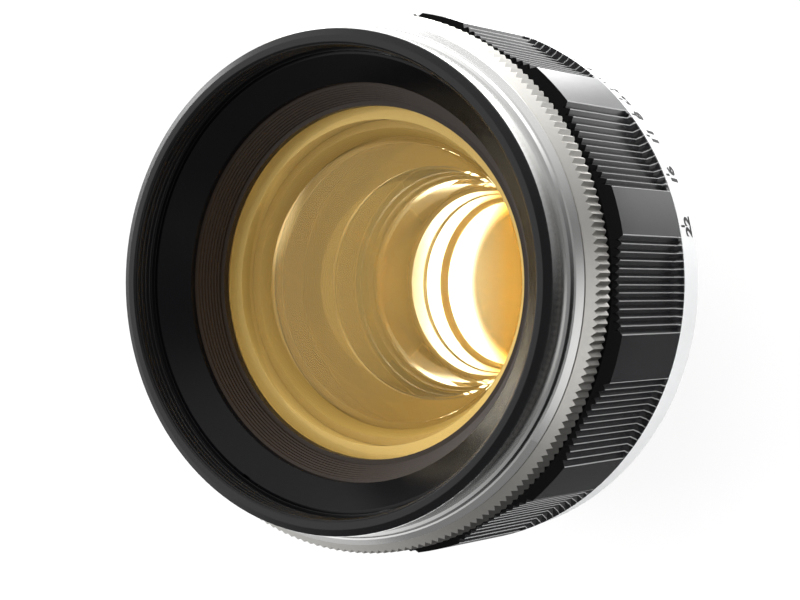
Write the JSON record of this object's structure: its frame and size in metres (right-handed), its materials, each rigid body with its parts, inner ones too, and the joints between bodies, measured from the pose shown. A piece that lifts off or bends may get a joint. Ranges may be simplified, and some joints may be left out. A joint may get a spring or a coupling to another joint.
{
  "type": "camera lens",
  "caption": "Fast manual rangefinder lens: knurled aperture ring, scalloped ribbed focus ring, iris, seven glass elements and a screw mount.",
  "frame": {"origin": "centre of the face that seats on the camera, at the root of the screw thread", "axes": "+Z along the lens axis towards the front, +Y through the focus index"},
  "size_m": [0.064, 0.064, 0.046],
  "materials": {
    "bright_chrome": "polished chrome plating",
    "satin_chrome": "matt satin chrome plating",
    "black_paint": "semi-gloss black paint on metal",
    "black_gloss": "gloss black paint on metal",
    "black_inner": "matt black anodising and paint",
    "brown_matt": "matt black paint that reads dark brown",
    "brass": "greased turned brass",
    "steel": "turned steel",
    "blued_steel": "dark blued spring steel",
    "coated_glass": "polished glass with an amber coating"
  },
  "bodies": {
    "mount": {"mount_ring": "bright_chrome", "mount_base": "satin_chrome", "mount_screws": "steel", "depth_scale_ring": "satin_chrome", "bearing_retainer": "black_inner", "guide_keys": "brass", "focus_stop_pin": "steel"},
    "focus": {"focus_ring": "black_paint", "outer_helicoid": "brass", "focus_ring_screws": "steel"},
    "head": {"head_barrel": "black_inner", "inner_helicoid": "brass", "rangefinder_cam": "bright_chrome", "cam_screws": "steel", "front_collar": "bright_chrome", "front_rim": "black_paint", "collar_screws": "steel", "name_ring": "black_gloss", "front_baffle": "brown_matt", "front_cell": "black_inner", "front_retainer": "brown_matt", "element_1": "coated_glass", "element_2_retainer": "black_inner", "element_2": "coated_glass", "element_3": "coated_glass", "iris_housing": "black_inner", "rear_cell": "black_inner", "element_4": "coated_glass", "element_5": "coated_glass", "rear_spacer_1": "black_inner", "element_6": "coated_glass", "rear_spacer_2": "black_inner", "element_7": "coated_glass", "rear_retainer": "black_inner", "click_ball": "steel", "click_spring": "steel"},
    "aperture": {"aperture_ring": "satin_chrome", "aperture_drive_screw": "steel", "iris_drive_sleeve": "black_inner", "iris_actuator": "black_inner"},
    "blade_01": {"iris_blade_01": "blued_steel"},
    "blade_02": {"iris_blade_02": "blued_steel"},
    "blade_03": {"iris_blade_03": "blued_steel"},
    "blade_04": {"iris_blade_04": "blued_steel"},
    "blade_05": {"iris_blade_05": "blued_steel"},
    "blade_06": {"iris_blade_06": "blued_steel"},
    "blade_07": {"iris_blade_07": "blued_steel"},
    "blade_08": {"iris_blade_08": "blued_steel"},
    "blade_09": {"iris_blade_09": "blued_steel"},
    "blade_10": {"iris_blade_10": "blued_steel"}
  },
  "joints": [
    {"name": "focus_turn", "type": "hinge", "parent": "mount", "child": "focus", "pos_m": [0, 0, 0.018], "axis": [0, 0, -1], "range_deg": [0, 165]},
    {"name": "head_travel", "type": "slide", "parent": "mount", "child": "head", "axis": [0, 0, 1], "range_m": [0, 0.0028]},
    {"name": "aperture_turn", "type": "hinge", "parent": "head", "child": "aperture", "pos_m": [0, 0, 0.03], "axis": [0, 0, -1], "range_deg": [0, 63]},
    {"name": "blade_swing_01", "type": "hinge", "parent": "head", "child": "blade_01", "pos_m": [0.018, 0, 0.0099], "axis": [0, 0, -1], "range_deg": [0, 37.77]},
    {"name": "blade_swing_02", "type": "hinge", "parent": "head", "child": "blade_02", "pos_m": [0.01456, 0.01058, 0.0099], "axis": [0, 0, -1], "range_deg": [0, 37.77]},
    {"name": "blade_swing_03", "type": "hinge", "parent": "head", "child": "blade_03", "pos_m": [0.00556, 0.01712, 0.0099], "axis": [0, 0, -1], "range_deg": [0, 37.77]},
    {"name": "blade_swing_04", "type": "hinge", "parent": "head", "child": "blade_04", "pos_m": [-0.00556, 0.01712, 0.0099], "axis": [0, 0, -1], "range_deg": [0, 37.77]},
    {"name": "blade_swing_05", "type": "hinge", "parent": "head", "child": "blade_05", "pos_m": [-0.01456, 0.01058, 0.0099], "axis": [0, 0, -1], "range_deg": [0, 37.77]},
    {"name": "blade_swing_06", "type": "hinge", "parent": "head", "child": "blade_06", "pos_m": [-0.018, 0, 0.0099], "axis": [0, 0, -1], "range_deg": [0, 37.77]},
    {"name": "blade_swing_07", "type": "hinge", "parent": "head", "child": "blade_07", "pos_m": [-0.01456, -0.01058, 0.0099], "axis": [0, 0, -1], "range_deg": [0, 37.77]},
    {"name": "blade_swing_08", "type": "hinge", "parent": "head", "child": "blade_08", "pos_m": [-0.00556, -0.01712, 0.0099], "axis": [0, 0, -1], "range_deg": [0, 37.77]},
    {"name": "blade_swing_09", "type": "hinge", "parent": "head", "child": "blade_09", "pos_m": [0.00556, -0.01712, 0.0099], "axis": [0, 0, -1], "range_deg": [0, 37.77]},
    {"name": "blade_swing_10", "type": "hinge", "parent": "head", "child": "blade_10", "pos_m": [0.01456, -0.01058, 0.0099], "axis": [0, 0, -1], "range_deg": [0, 37.77]}
  ],
  "couplings": [
    {"joint": "head_travel", "follows": "focus_turn", "m_per_rad": 0.00097085},
    {"joint": "blade_swing_01", "follows": "aperture_turn", "ratio": 0.59941},
    {"joint": "blade_swing_02", "follows": "aperture_turn", "ratio": 0.59941},
    {"joint": "blade_swing_03", "follows": "aperture_turn", "ratio": 0.59941},
    {"joint": "blade_swing_04", "follows": "aperture_turn", "ratio": 0.59941},
    {"joint": "blade_swing_05", "follows": "aperture_turn", "ratio": 0.59941},
    {"joint": "blade_swing_06", "follows": "aperture_turn", "ratio": 0.59941},
    {"joint": "blade_swing_07", "follows": "aperture_turn", "ratio": 0.59941},
    {"joint": "blade_swing_08", "follows": "aperture_turn", "ratio": 0.59941},
    {"joint": "blade_swing_09", "follows": "aperture_turn", "ratio": 0.59941},
    {"joint": "blade_swing_10", "follows": "aperture_turn", "ratio": 0.59941}
  ]
}
